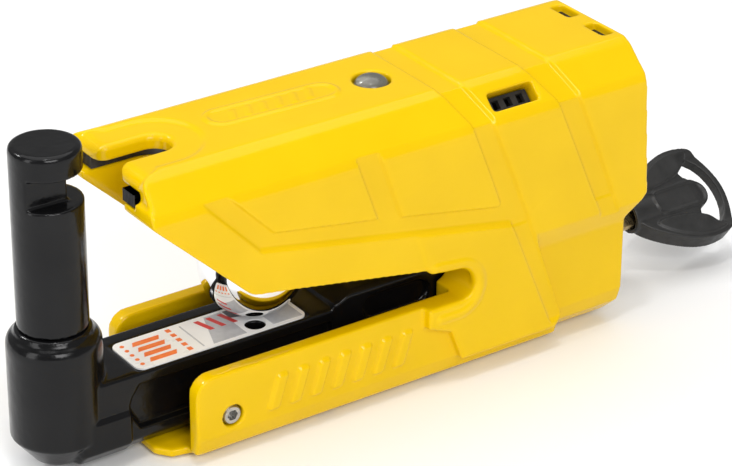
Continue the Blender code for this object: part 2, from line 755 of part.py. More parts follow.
def make_battery(wrap, plastic, metal):
    """The battery, its tray and its end contacts."""
    cell = rod("battery", "X", (BATTERY_Y, BATTERY_Z), BATTERY_R, *BATTERY_X)
    join(cell, rod("tip", "X", (BATTERY_Y, BATTERY_Z), 2.6, BATTERY_X[0] - 0.9, BATTERY_X[0] + 1, 24))
    tray = block("battery_tray", (87.0, 120.0), (-4.2, 7.2), (CAVITY_LOW + GAP, 43.5))
    cut(tray, rod("cell_room", "X", (BATTERY_Y, BATTERY_Z), BATTERY_R + GAP, 88.6, 118.4))
    finish(shade(cell), wrap)
    finish(shade(tray), plastic)
    finish(block("battery_contact_front", (88.7, 89.2), (-1.0, 6.0), (44.0, 51.0)), metal)
    finish(block("battery_contact_rear", (117.4, 118.0), (-1.0, 6.0), (44.0, 51.0)), metal)


def make_siren(plastic, brass):
    """The siren's case, its piezo disc and the grille in the shoulder."""
    case = rod("siren", "Y", (98.0, 46.8), 8.2, -12.2, -5.0)
    cut(case, rod("mouth", "Y", (98.0, 46.8), 6.6, -14, -7.0))
    plate = rod("piezo_disc", "Y", (98.0, 46.8), 6.2, -10.6, -10.1)
    grille = shoulder_box("siren_grille", (88.3, 98.2), 3.2, 3.7, -2.6)
    for i in range(3):
        x = 89.7 + 2.9 * i
        cut(grille, shoulder_box("louvre", (x, x + 1.6), 1.9, 6, 3))
    finish(shade(case), plastic)
    finish(plate, brass)
    finish(grille, plastic)


def make_rear_cover(plastic, rubber, steel):
    """The alarm's rear cover with its seal and screws."""
    cover = prism("rear_cover", "X", octagon(13.5, 34.9, 56.9, 1.6), 122.4, 124.2)
    seal = prism("cover_seal", "X", octagon(13.5, 34.9, 56.9, 1.6), 121.5, 122.1)
    cut(seal, prism("seal_hole", "X", octagon(10.4, 38.0, 54.6, 4), 115, 130))
    for side, name in SIDES:
        for z, level in ((38.3, "low"), (54.2, "high")):
            centre = (side * 11.1, z)
            cut(cover, rod("hole", "X", centre, 1.1 + GAP, 120, 130, FINE),
                rod("head_room", "X", centre, 2.1, 123.3, 130, FINE))
            cut(seal, rod("hole", "X", centre, 1.1 + GAP, 120, 130, FINE))
            screw = rod(f"cover_screw_{name}_{level}", "X", centre, 1.1, 117.5, 123.8, 12)
            join(screw, rod("head", "X", centre, 1.8, 123.6, 124.3, FINE))
            cut(screw, rod("drive", "X", centre, 0.8, 123.9, 126, 6))
            finish(shade(screw), steel)
    finish(shade(cover), plastic)
    finish(shade(seal), rubber)


def make_vent_screens(mesh_metal):
    """The two perforated screens in the rear vents."""
    for side, name in SIDES:
        screen = vent_box("vent_screen_" + name, side, 59.3, 59.8, GAP)
        for i in range(4):
            y = side * 5.4 - 2.1 + 1.4 * i
            cut(screen, block("hole", (121.3, 122.7), (y - 0.4, y + 0.4), (58, 61)))
        finish(screen, mesh_metal)


def make_sensor_pair(plastic, metal):
    """The magnet in the beam and the switch that senses it."""
    magnet = rod("beam_magnet", "Z", (82.0, 6.4), 1.5, 18.9, 21.6, FINE)
    sensor = rod("bolt_sensor", "Z", (103.0, 6.4), 1.5, 23.0, 36.0, FINE)
    finish(sensor, plastic)
    return finish(magnet, metal)


# ---------------------------------------------------------------- assembly


def build():
    """Make every piece and hang the moving ones on their joints."""
    clear_scene()
    yellow = material("yellow_paint", (0.93, 0.66, 0.01), 0.25)
    black = material("black_paint", (0.012, 0.012, 0.013), 0.2)
    chrome = material("chrome", (0.8, 0.8, 0.8), 0.05, 1.0)
    steel = material("steel", (0.45, 0.44, 0.42), 0.35, 1.0)
    dark_steel = material("dark_steel", (0.04, 0.04, 0.045), 0.4, 0.8)
    brass = material("brass", (0.62, 0.47, 0.22), 0.3, 1.0)
    plastic = material("black_plastic", (0.02, 0.02, 0.02), 0.5)
    rubber = material("rubber", (0.015, 0.015, 0.015), 0.8)
    green = material("board_green", (0.02, 0.14, 0.06), 0.45)
    white = material("print_white", (0.8, 0.8, 0.8), 0.4)
    clear = material("clear_lens", (0.75, 0.75, 0.72), 0.1)
    wrap = material("battery_wrap", (0.05, 0.06, 0.2), 0.35)

    make_housing(yellow)
    make_neck_guide(dark_steel)
    make_dome(chrome)
    make_set_screws(steel)
    make_cylinder_body(steel)
    make_retainer(steel)
    make_stop_pin(steel)
    make_led(clear, white)
    make_board(green, plastic)
    make_battery(wrap, plastic, steel)
    make_siren(plastic, brass)
    make_rear_cover(plastic, rubber, steel)
    make_vent_screens(dark_steel)
    magnet = make_sensor_pair(plastic, steel)

    bolt = [make_beam(black), make_post(black), make_label(white), magnet]
    core = [make_core(steel), *make_discs(brass), make_sidebar(steel), make_face_ring(steel)]
    key = [make_key_blade(brass), make_key_bow(plastic)]
    hang("bolt_slide", place(0, 0, BEAM_LOW), bolt)
    hang("latch_slide", place(TOOTH_X[0], 0, TOOTH_LOW), [make_latch(steel)])
    hang("key_axis", place(CYLINDER_X[0], 0, KEY_Z), core)
    hang("key_slide", place(CYLINDER_X[1], 0, KEY_Z), key)


build()
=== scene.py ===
"""Looks of a motorcycle disc brake lock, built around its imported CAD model.

Working lengths are millimetres: X runs from the post's axis to the rear, Y
across the lock and Z up from the underside. Every piece is built there and
moved into the frame at the end, by the place of the bolt's post.
"""

import json
import math

import bmesh
import bpy
import numpy as np
from mathutils import Matrix, Vector


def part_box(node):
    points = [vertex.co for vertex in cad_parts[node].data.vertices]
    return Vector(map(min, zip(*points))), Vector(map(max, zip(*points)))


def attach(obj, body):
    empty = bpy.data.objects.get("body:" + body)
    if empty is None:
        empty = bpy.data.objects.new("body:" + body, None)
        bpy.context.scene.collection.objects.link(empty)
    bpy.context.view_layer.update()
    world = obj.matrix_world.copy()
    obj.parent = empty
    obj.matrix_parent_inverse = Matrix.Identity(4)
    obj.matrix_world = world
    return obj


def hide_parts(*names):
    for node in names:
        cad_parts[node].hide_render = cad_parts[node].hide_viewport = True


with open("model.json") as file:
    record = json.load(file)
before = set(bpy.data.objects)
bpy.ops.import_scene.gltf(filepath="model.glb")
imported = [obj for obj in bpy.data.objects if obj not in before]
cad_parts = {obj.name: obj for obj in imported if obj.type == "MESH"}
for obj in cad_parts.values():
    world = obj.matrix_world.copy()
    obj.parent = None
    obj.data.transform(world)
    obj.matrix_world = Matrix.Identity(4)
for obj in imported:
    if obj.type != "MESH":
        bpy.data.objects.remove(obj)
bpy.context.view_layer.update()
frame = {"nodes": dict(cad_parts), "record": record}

MM = 0.001
POST_LOW, POST_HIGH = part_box("bolt_post")
POST_X = (POST_LOW.x + POST_HIGH.x) / 2
TO_FRAME = Matrix.Translation((POST_X, 0, 0)) @ Matrix.Scale(MM, 4)
SIDES = ((-1, "near"), (1, "far"))

# Housing
TOP_Z = 61.3
HALF = 18.3  # half width of the upper body
LOWER_HALF = 16.4  # half width of the rails
FLANK_HALF = 18.55  # half width over the raised flanks
RAIL_INNER = 13.2
RAIL_Z = 18.5
MOUTH_END = (79.6, 22.2)  # centre of the mouth's round end, as (x, z)
MOUTH_R = 3.7
SLOT_END = 22.4  # centre of the neck slot's round end
SLOT_HALF = 3.35
FRONT_X = 12.7  # front edge of the nose's top plate
LIP_CORNER = 2.5  # how round the slot flares at the front, from above
SLOT_LIP = 1.2  # how round the slot's upper edge is
FRONT_LIP = 2.6  # how round the nose's front edge is
FRONT_EDGE = ((0.0, FRONT_X), (10.8, FRONT_X), (15.0, 12.1), (18.0, 11.6))  # (|y|, x)
PLATE_LOW = 57.9  # underside of the nose's top plate
RIM_Z = 54.9  # floor of the guide's pocket
KEY_Z = 12.6  # height of the key's axis
KEY_TILT = 35.0
DOME_X = 43.3
DOME_Z = 30.0
DOME_R = 10.5
DOME_CUT_Z = 36.4  # where the dome ends in its stud
LED_X = 70.9
SET_SCREW = (28.5, 8.8)  # (x, z)
COVER_SCREWS = ((11.1, 38.3), (11.1, 54.2))  # (|y|, z) of the rear cover's screws
SHOULDER = ((12.6, 60.4), (17.7, 55.7))  # (y, z) of the shoulder slope's ends
FOOT_NOTCHES = (51.6, 76.6)  # x of the shallow steps in the rails' lower edges
GROOVE = 0.75  # depth of the straps and of the frame around the panels
STRAP_EDGE = 1.9  # how steep the straps' edges are, per millimetre
PAD_RISE = 0.28  # how far the top's oval rim stands proud
RAIL_RISE = 0.7  # how far the rails' bars stand proud
PAD = ((49.0, 1.2), 14.3, 3.5, -2.5)  # the top's oval: centre, half length, half width, turn

# Bolt
POST_R = 6.75
POST_TOP = 66.9
BOSS_R = 9.0
BEAM_LOW = 2.4
BEAM_TOP = 19.06
BEAM_HALF = 7.9
BLOCK_HALF = 8.4
BLOCK_TOP = 22.0
BEAM_END = 85.2
DIMPLE = (41.1, -4.4)
DIMPLE_R = 2.1

# Faces: the remeshed grids in millimetres, and the most triangles a piece keeps
HOUSING_GRID = 0.32
BEAM_GRID = 0.33
POST_GRID = 0.3
BOW_GRID = 0.22
HOUSING_MOST = 185000
BEAM_MOST = 150000
BOW_MOST = 120000


# ---------------------------------------------------------------- mesh tools


def add_object(name, bm):
    """Close a bmesh into an object in the scene."""
    bmesh.ops.recalc_face_normals(bm, faces=bm.faces)
    mesh = bpy.data.meshes.new(name)
    bm.to_mesh(mesh)
    bm.free()
    item = bpy.data.objects.new(name, mesh)
    bpy.context.scene.collection.objects.link(item)
    return item


def prism(name, axis, outline, low, high):
    """Extrude an outline: (y, z) along X, (x, z) along Y or (x, y) along Z."""
    spots = {
        "X": lambda a, b, h: (h, a, b),
        "Y": lambda a, b, h: (a, h, b),
        "Z": lambda a, b, h: (a, b, h),
    }
    step = {"X": (1, 0, 0), "Y": (0, 1, 0), "Z": (0, 0, 1)}[axis]
    bm = bmesh.new()
    face = bm.faces.new([bm.verts.new(spots[axis](a, b, low)) for a, b in outline])
    grown = bmesh.ops.extrude_face_region(bm, geom=[face])
    moved = [v for v in grown["geom"] if isinstance(v, bmesh.types.BMVert)]
    bmesh.ops.translate(bm, verts=moved, vec=Vector(step) * (high - low))
    return add_object(name, bm)


def block(name, x, y, z):
    """A box from its limits."""
    outline = [(x[0], y[0]), (x[1], y[0]), (x[1], y[1]), (x[0], y[1])]
    return prism(name, "Z", outline, *z)


def arc(centre, radius, start, end, steps):
    """Points of an arc in degrees, both ends included."""
    turns = [math.radians(start + (end - start) * i / steps) for i in range(steps + 1)]
    return [(centre[0] + radius * math.cos(t), centre[1] + radius * math.sin(t)) for t in turns]


def rod(name, axis, centre, radius, low, high, sides=64):
    """A round bar along an axis."""
    return prism(name, axis, arc(centre, radius, 0, 360, sides)[:-1], low, high)


def lathe(name, x, y, profile, sides=96):
    """Spin (radius, height) points about an upright line."""
    bm = bmesh.new()
    points = [bm.verts.new((x + r, y, z)) for r, z in profile]
    edges = [bm.edges.new(pair) for pair in zip(points, points[1:])]
    bmesh.ops.spin(bm, geom=points + edges, cent=(x, y, 0), axis=(0, 0, 1),
                   angle=math.tau, steps=sides, use_merge=True, use_duplicate=False)
    bmesh.ops.remove_doubles(bm, verts=bm.verts, dist=1e-4)
    return add_object(name, bm)


def rounded(points, radius, steps=8):
    """Round the corners of a closed outline."""
    made = []
    for i, corner in enumerate(points):
        a, b, c = (Vector(p) for p in (points[i - 1], corner, points[(i + 1) % len(points)]))
        reach = min(radius, (a - b).length / 2.1, (c - b).length / 2.1)
        start, end = b + (a - b).normalized() * reach, b + (c - b).normalized() * reach
        for k in range(steps + 1):
            t = k / steps
            spot = start * (1 - t) ** 2 + b * 2 * t * (1 - t) + end * t ** 2
            made.append((spot.x, spot.y))
    return made


def tube(name, path, radius, sides=20):
    """A round tube along 3-D points, with domed ends."""
    curve = bpy.data.curves.new(name, "CURVE")
    curve.dimensions = "3D"
    curve.bevel_depth = radius
    curve.bevel_resolution = sides // 4
    curve.use_fill_caps = True
    spline = curve.splines.new("POLY")
    spline.points.add(len(path) - 1)
    for point, spot in zip(spline.points, path):
        point.co = (*spot, 1.0)
    holder = bpy.data.objects.new(name, curve)
    bpy.context.scene.collection.objects.link(holder)
    bpy.context.view_layer.update()
    seen = holder.evaluated_get(bpy.context.evaluated_depsgraph_get())
    mesh = bpy.data.meshes.new_from_object(seen)
    bpy.data.objects.remove(holder)
    item = bpy.data.objects.new(name, mesh)
    bpy.context.scene.collection.objects.link(item)
    for spot in (path[0], path[-1]):
        bm = bmesh.new()
        bmesh.ops.create_icosphere(bm, subdivisions=3, radius=radius,
                                   matrix=Matrix.Translation(spot))
        merge(item, add_object("end", bm))
    return item


def modify(item, kind, **settings):
    """Apply one modifier to an object."""
    step = item.modifiers.new(kind, kind)
    for key, value in settings.items():
        setattr(step, key, value)
    bpy.context.view_layer.update()
    seen = item.evaluated_get(bpy.context.evaluated_depsgraph_get())
    mesh = bpy.data.meshes.new_from_object(seen)
    item.modifiers.clear()
    item.data = mesh
    return item


def combine(item, tools, operation):
    """Boolean tools into an object and remove them."""
    for tool in tools:
        modify(item, "BOOLEAN", operation=operation, solver="EXACT", object=tool)
        bpy.data.objects.remove(tool)
    return item


def cut(item, *tools):
    """Cut the tools out of an object."""
    return combine(item, tools, "DIFFERENCE")


def join(item, *tools):
    """Join the tools to an object."""
    return combine(item, tools, "UNION")


def merge(item, *others):
    """Add other closed shells to an object's mesh, for a remesh to unite."""
    bm = bmesh.new()
    bm.from_mesh(item.data)
    for other in others:
        bm.from_mesh(other.data)
        bpy.data.objects.remove(other)
    bm.to_mesh(item.data)
    bm.free()
    return item


def remesh(item, voxel, rounds):
    """Unite an object's shells in small even faces and round its edges."""
    modify(item, "REMESH", mode="VOXEL", voxel_size=voxel, adaptivity=0.0)
    return modify(item, "SMOOTH", factor=0.5, iterations=rounds)


def thin_out(item, most):
    """Reduce an object to about a number of triangles."""
    count = sum(len(p.vertices) - 2 for p in item.data.polygons)
    if count > most:
        modify(item, "DECIMATE", ratio=most / count)
    return item


def points_of(item):
    """An object's vertices as an array."""
    found = np.empty(len(item.data.vertices) * 3)
    item.data.vertices.foreach_get("co", found)
    return found.reshape(-1, 3)


def set_points(item, points):
    """Write an array back into an object's vertices."""
    item.data.vertices.foreach_set("co", points.ravel())
    item.data.update()


def smoothstep(t):
    """A smooth rise from 0 at 0 to 1 at 1."""
    t = np.clip(t, 0.0, 1.0)
    return t * t * (3 - 2 * t)


def distance(outline, a, b):
    """Signed distance from points (a, b) to an outline, below 0 inside."""
    nearest = np.full(a.shape, 1e9)
    inside = np.zeros(a.shape, bool)
    for (x0, y0), (x1, y1) in zip(outline, outline[1:] + outline[:1]):
        dx, dy = x1 - x0, y1 - y0
        t = np.clip(((a - x0) * dx + (b - y0) * dy) / (dx * dx + dy * dy + 1e-12), 0, 1)
        nearest = np.minimum(nearest, np.hypot(a - x0 - t * dx, b - y0 - t * dy))
        if abs(dy) > 1e-12:
            crossed = (y0 > b) != (y1 > b)
            inside ^= crossed & (a < dx * (b - y0) / dy + x0)
    return np.where(inside, -nearest, nearest)


def within(outline, a, b, soft=0.28):
    """1 inside an outline and 0 outside, over a soft edge."""
    return smoothstep(0.5 - distance(outline, a, b) / soft)


def shade(item, angle=None):
    """Shade smooth, with edges over an angle kept sharp where one is given."""
    item.data.shade_smooth()
    if angle:
        item.data.set_sharp_from_angle(angle=math.radians(angle))
    return item


def finish_piece(item, body, replaced, made, angle=None):
    """Move a piece into the frame, give it its materials, shade it, tie it to its body and hide the
    CAD parts it replaces.
    """
    item.data.transform(TO_FRAME)
    item.data.materials.clear()
    for material in made if isinstance(made, list) else [made]:
        item.data.materials.append(material)
    shade(item, angle)
    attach(item, body)
    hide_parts(*replaced)
    return item


# ---------------------------------------------------------------- materials


class Shader:
    """A Principled material whose nodes are added one by one."""

    def __init__(self, name, roughness, metallic=0.0, **settings):
        self.material = bpy.data.materials.new(name)
        self.material.use_nodes = True
        self.tree = self.material.node_tree
        self.shader = self.tree.nodes["Principled BSDF"]
        self.shader.inputs["Roughness"].default_value = roughness
        self.shader.inputs["Metallic"].default_value = metallic
        for key, value in settings.items():
            self.shader.inputs[key.replace("_", " ")].default_value = value
        self.where = self.add("ShaderNodeTexCoord").outputs["Object"]
        self.height = None

    def add(self, kind, **settings):
        """Add a node and set its attributes."""
        node = self.tree.nodes.new(kind)
        for key, value in settings.items():
            setattr(node, key, value)
        return node

    def link(self, a, b):
        """Link two sockets."""
        self.tree.links.new(a, b)

    def noise(self, scale, detail=3.0, stretch=(1, 1, 1), kind="ShaderNodeTexNoise"):
        """A noise over the piece, scale in waves per metre."""
        spread = self.add("ShaderNodeMapping")
        spread.inputs["Scale"].default_value = stretch
        self.link(self.where, spread.inputs["Vector"])
        node = self.add(kind)
        node.inputs["Scale"].default_value = scale
        if "Detail" in node.inputs:
            node.inputs["Detail"].default_value = detail
        self.link(spread.outputs["Vector"], node.inputs["Vector"])
        return node.outputs[0]

    def ramp(self, value, low, high, start=0.3, end=0.7):
        """Colours or greys from low to high over a value."""
        node = self.add("ShaderNodeValToRGB")
        ends = node.color_ramp.elements
        ends[0].position, ends[1].position = start, end
        ends[0].color = (*low, 1) if isinstance(low, tuple) else (low, low, low, 1)
        ends[1].color = (*high, 1) if isinstance(high, tuple) else (high, high, high, 1)
        self.link(value, node.inputs["Fac"])
        return node.outputs["Color"]

    def colour(self, low, high, scale, **settings):
        """Vary the colour between two."""
        varied = self.ramp(self.noise(scale, **settings), low, high)
        self.link(varied, self.shader.inputs["Base Color"])
        return self

    def rough(self, low, high, scale, **settings):
        """Vary the roughness between two values."""
        varied = self.ramp(self.noise(scale, **settings), low, high)
        self.link(varied, self.shader.inputs["Roughness"])
        return self

    def bump(self, strength, deep, scale, **settings):
        """Add a bump, its depth in metres."""
        node = self.add("ShaderNodeBump")
        node.inputs["Strength"].default_value = strength
        node.inputs["Distance"].default_value = deep
        self.link(self.noise(scale, **settings), node.inputs["Height"])
        if self.height:
            self.link(self.height, node.inputs["Normal"])
        self.height = node.outputs["Normal"]
        self.link(self.height, self.shader.inputs["Normal"])
        return self


def make_materials():
    """Every finish, by the record's slot, and the label's inks."""
    made = {
        "yellow_paint": Shader("yellow_paint", 0.3, Specular_IOR_Level=0.2)
        .colour((0.71, 0.45, 0.0), (0.75, 0.48, 0.001), 60)
        .rough(0.12, 0.18, 300).bump(0.10, 0.0001, 300).bump(0.06, 0.00003, 2400),
        "black_paint": Shader("black_paint", 0.16, Specular_IOR_Level=0.24)
        .colour((0.002, 0.002, 0.0024), (0.005, 0.005, 0.0054), 90)
        .rough(0.13, 0.24, 420).bump(0.55, 0.00016, 330).bump(0.2, 0.00006, 1100),
        "chrome": Shader("chrome", 0.03, 1.0)
        .colour((0.80, 0.80, 0.81), (0.88, 0.88, 0.88), 50)
        .rough(0.015, 0.05, 500).bump(0.02, 0.00002, 900),
        "steel": Shader("steel", 0.3, 1.0)
        .colour((0.38, 0.37, 0.35), (0.56, 0.55, 0.53), 500, stretch=(1, 12, 12))
        .rough(0.22, 0.42, 700, stretch=(1, 9, 9)).bump(0.2, 0.00003, 1500, stretch=(1, 8, 8)),
        "dark_steel": Shader("dark_steel", 0.35, 0.75)
        .colour((0.025, 0.025, 0.028), (0.06, 0.06, 0.066), 350)
        .rough(0.28, 0.5, 800).bump(0.3, 0.00005, 1300),
        "brass": Shader("brass", 0.3, 1.0)
        .colour((0.50, 0.37, 0.17), (0.66, 0.51, 0.27), 400, stretch=(10, 1, 1))
        .rough(0.22, 0.42, 900, stretch=(9, 1, 1)).bump(0.25, 0.00004, 1400, stretch=(8, 1, 1)),
        "black_plastic": Shader("black_plastic", 0.45)
        .colour((0.008, 0.008, 0.0075), (0.015, 0.0145, 0.014), 260)
        .rough(0.38, 0.56, 600).bump(0.35, 0.00006, 2200),
        "rubber": Shader("rubber", 0.8)
        .colour((0.010, 0.010, 0.010), (0.02, 0.02, 0.02), 300)
        .rough(0.7, 0.9, 500).bump(0.3, 0.00008, 1800),
        "board": Shader("board", 0.4)
        .colour((0.008, 0.09, 0.03), (0.02, 0.16, 0.06), 700, kind="ShaderNodeTexVoronoi")
        .rough(0.3, 0.5, 400).bump(0.3, 0.00005, 900, kind="ShaderNodeTexVoronoi"),
        "label_print": Shader("label_print", 0.35, Coat_Weight=0.3)
        .colour((0.80, 0.81, 0.82), (0.88, 0.88, 0.88), 120)
        .rough(0.25, 0.4, 300).bump(0.1, 0.00004, 400),
        "clear_lens": Shader("clear_lens", 0.08, Transmission_Weight=0.55, IOR=1.49)
        .colour((0.16, 0.16, 0.14), (0.30, 0.29, 0.25), 260)
        .rough(0.05, 0.14, 400).bump(0.1, 0.00004, 900),
        "led_white": Shader("led_white", 0.35, Subsurface_Weight=0.2)
        .colour((0.75, 0.74, 0.66), (0.84, 0.84, 0.80), 500)
        .rough(0.3, 0.45, 600).bump(0.1, 0.00003, 900),
        "battery_wrap": Shader("battery_wrap", 0.3, Coat_Weight=0.4)
        .colour((0.02, 0.03, 0.16), (0.04, 0.06, 0.24), 120)
        .rough(0.22, 0.4, 260).bump(0.25, 0.0001, 150, stretch=(1, 5, 5)),
        "ink_orange": Shader("ink_orange", 0.4)
        .colour((0.80, 0.16, 0.03), (0.88, 0.22, 0.05), 500).rough(0.3, 0.5, 600),
        "ink_grey": Shader("ink_grey", 0.4)
        .colour((0.42, 0.43, 0.46), (0.52, 0.53, 0.56), 500).rough(0.3, 0.5, 600),
        "ink_dark": Shader("ink_dark", 0.4)
        .colour((0.09, 0.09, 0.10), (0.14, 0.14, 0.15), 500).rough(0.3, 0.5, 600),
        "ink_red": Shader("ink_red", 0.4)
        .colour((0.55, 0.03, 0.03), (0.65, 0.06, 0.05), 500).rough(0.3, 0.5, 600),
    }
    return {name: shader.material for name, shader in made.items()}


# ---------------------------------------------------------------- housing


def housing_profile():
    """The housing's side outline, with the mouth between nose and rails."""
    return [
        (23.0, 0.0),
        *arc((115.4, 6.5), 6.5, -90, 0, 16),
        (121.9, 24.4), (125.9, 29.2), (124.3, 56.0), (124.3, TOP_Z + 1.5),
        (18.0, TOP_Z + 1.5), (12.9, TOP_Z - 0.3), (11.4, TOP_Z - 2.2), (11.4, 53.6),
        *arc((34.4, 38.9), 5.0, 225, 261, 8), (41.6, 32.7),
        *arc(MOUTH_END, MOUTH_R, 80, -90, 24),
        *arc((24.5, 14.5), 4.0, 90, 180, 12), (20.5, 2.5),
    ]


def housing_section():
    """The housing's end outline, with sloping shoulders and a narrower foot."""
    half = [
        (11.3, -1.0), (15.5, 2.3), (LOWER_HALF, 5.5), (LOWER_HALF, 23.2), (HALF, 27.8),
        (HALF, 54.0), SHOULDER[1], SHOULDER[0], (10.6, TOP_Z),
    ]
    return half + [(-y, z) for y, z in reversed(half)]


def flank_outline():
    """The raised side around the mouth's end, as (x, z)."""
    mouth = arc(MOUTH_END, MOUTH_R, -90, 80, 24)
    return [
        (69.4, 35.3), (92.3, 32.0), (97.7, 28.0), (105.1, 7.4), (103.3, 5.2), (80.4, 5.2),
        (77.7, 12.2), (72.2, 14.4), (72.2, RAIL_Z), *mouth, (72.2, 26.6),
    ]


def neck_slot_outline():
    """The neck's slot, which flares where it opens at the front."""
    h, r, front = SLOT_HALF, LIP_CORNER, FRONT_X
    half = [(-20.0, h + r), (front, h + r), *arc((front + r, h + r), r, 180, 270, 8)]
    return [(x, -y) for x, y in half] + arc((SLOT_END, 0), h, -90, 90, 24) + list(reversed(half))


def slot_outline(half, start=2.0):
    """A slot open at the front with a round end, from above."""
    return [(start, -half), *arc((SLOT_END, 0), half, -90, 90, 24), (start, half)]


def octagon(half, low, high, corner):
    """A (y, z) rectangle with its corners cut off."""
    return [
        (-half + corner, low), (half - corner, low), (half, low + corner),
        (half, high - corner), (half - corner, high), (-half + corner, high),
        (-half, high - corner), (-half, low + corner),
    ]


def shoulder_box(name, x, width, deep, proud):
    """A box that sinks square into the near shoulder's slope."""
    (y0, z0), (y1, z1) = SHOULDER
    slope = math.atan2(z0 - z1, y1 - y0)
    along = (math.cos(slope), math.sin(slope))
    out = (-math.sin(slope), math.cos(slope))
    corners = []
    for a, b in ((-0.5, proud), (0.5, proud), (0.5, -deep), (-0.5, -deep)):
        corners.append((-15.4 + a * width * along[0] + b * out[0],
                        57.8 + a * width * along[1] + b * out[1]))
    return prism(name, "X", corners, *x)


def housing_shell():
    """The housing's outer shape, with its rear foot and the steps under the rails."""
    body = prism("visual_housing", "Y", housing_profile(), -20, 20)
    combine(body, [prism("section", "X", housing_section(), 0, 140)], "INTERSECT")
    foot = [(9.0, -0.5), (12.8, 2.1), (15.4, 4.8), (16.4, 8.0), (22.0, 8.0), (22.0, -0.5)]
    for side in (-1, 1):
        cut(body, prism("rear_edge", "X", [(side * y, z) for y, z in foot], 105.8, 130))
        for x in FOOT_NOTCHES:
            step = [(x - 2.6, -1.0), (x - 1.5, 0.9), (x + 1.5, 0.9), (x + 2.6, -1.0)]
            cut(body, prism("foot_notch", "Y", step, *sorted((side * 11.5, side * 20))))
    return body


def hollow_out(body):
    """Cut the nose's notch and slots, the bolt's way, the alarm's room and the bores."""
    front = [(x, y) for y, x in FRONT_EDGE[1:]] + [(11.4, 20), (5, 20)]
    notch = [(x, -y) for x, y in reversed(front)] + front
    cut(body,
        prism("front_notch", "Z", notch, RIM_Z + 1.4, 63),
        block("guide_room", (5, FRONT_X + 1), (-11.4, 11.4), (RIM_Z, 57.0)),
        block("rail_gap", (5, 80.5), (-RAIL_INNER, RAIL_INNER), (2.0, RAIL_Z + 2)),
        block("channel", (5, 109.0), (-8.75, 8.75), (2.0, 22.5)),
        rod("cylinder_bore", "X", (0, KEY_Z), 8.5, 108, 130),
        prism("neck_slot", "Z", neck_slot_outline(), 50, 70),
        prism("post_slot", "Z", slot_outline(7.4), 25, 57.0),
        prism("guide_pocket", "Z", slot_outline(11.4), RIM_Z, PLATE_LOW),
        rod("dome_recess", "Z", (DOME_X, 0), DOME_R + 0.8, 22, DOME_CUT_Z + 0.3, 96),
        rod("dome_bore", "Z", (DOME_X, 0), 4.3, 30, 48),
        block("latch_chamber", (94.1, 109.0), (-4.4, 4.4), (20, 33.3)),
        prism("cavity", "X", octagon(12.6, 36.5, 56.0, 1.5), 54.0, 113),
        prism("cavity", "X", octagon(12.6, 36.5, 56.0, 5), 112, 121.7),
        prism("rebate", "X", octagon(13.8, 34.6, 57.2, 1.6), 121.2, 130),
        rod("led_hole", "Z", (LED_X, 0), 3.75, 50, 70),
        shoulder_box("siren_window", (87.9, 98.6), 3.9, 5.0, 3.0),
        rod("set_screw_bores", "Y", SET_SCREW, 2.3, -25, 25, 32))
    for side in (-1, 1):
        y = (side * 5.4 - 3.0, side * 5.4 + 3.0)
        cut(body, block("vent", (120.6, 123.4), y, (59.0, 63.0)))
        for screw_y, z in COVER_SCREWS:
            cut(body, rod("screw_bore", "X", (side * screw_y, z), 1.4, 117, 126, 24))
    return body


def bead_path(side):
    """The U-shaped bead around the mouth's end."""
    line = [(73.7, 27.7), (76.0, 27.4), (78.8, 27.05)]
    line += arc((78.9, 21.45), 5.6, 88, -92, 24) + [(76.6, 15.9), (75.0, 15.9)]
    return [(x, side * 17.4, z) for x, z in line]


def add_flanks(body):
    """The raised flanks, the bead around the mouth's end and the floor's lip."""
    for side in (-1, 1):
        low, high = sorted((side * 14.5, side * FLANK_HALF))
        merge(body, prism("flank", "Y", flank_outline(), low, high),
              tube("bead", bead_path(side), 1.6))
    lip = [(15.8, -8.0), (15.8, 8.0), (18.0, 11.0), (26.0, 12.5), (26.0, -12.5), (18.0, -11.0)]
    return merge(body, prism("floor_lip", "Z", lip, 0.4, 2.1))


def line_at(value, spots):
    """Interpolate a boundary given as (value, place) points."""
    return np.interp(value, [s[0] for s in spots], [s[1] for s in spots])


def edge(past):
    """A rise from 0 to 1 over a strap's edge, from the distance past its middle."""
    return smoothstep(past * STRAP_EDGE + 0.5)


def side_depth(x, z):
    """How deep the side is pressed in at (x, z)."""
    low = line_at(x, [(19.4, 58.0), (34.0, 42.9), (88.8, 32.6), (97.0, 31.0)])
    upright = np.where(x < 34.0, 0.70, 0.98)
    right = line_at(z, [(7.5, 105.1), (23.6, 99.1), (27.8, 97.5), (41.3, 92.3), (53.3, 87.3),
                        (61.0, 84.0)])
    left = line_at(z, [(6.9, 102.1), (31.4, 92.0), (37.2, 89.0), (45.0, 86.0), (54.3, 82.3)])
    in_frame = smoothstep((z - low) * upright / 0.8 + 0.5) * edge(right - x)
    panels = [
        [(26.0, 58.0), (27.7, 55.2), (36.9, 45.8), (60.1, 41.9), (55.5, 54.6), (54.0, 60.0)],
        [(59.0, 60.0), (61.1, 53.1), (65.6, 40.8), (88.6, 36.4), (89.2, 37.2), (86.0, 45.0),
         (82.3, 54.3), (80.0, 60.0)],
    ]
    for panel in panels:
        in_frame = in_frame * (1 - within(panel, x, z))
    strap = edge(x - left) * edge(right - x)
    strap = strap * smoothstep((z - 6.6) * 1.2)
    second = [(101.4, 60.0), (102.7, 54.6), (108.0, 42.2), (113.9, 28.2), (115.0, 24.0),
              (120.0, 24.0), (117.9, 29.3), (113.0, 41.7), (107.8, 54.3), (105.8, 60.0)]
    return GROOVE * np.maximum.reduce([in_frame, strap, within(second, x, z)])


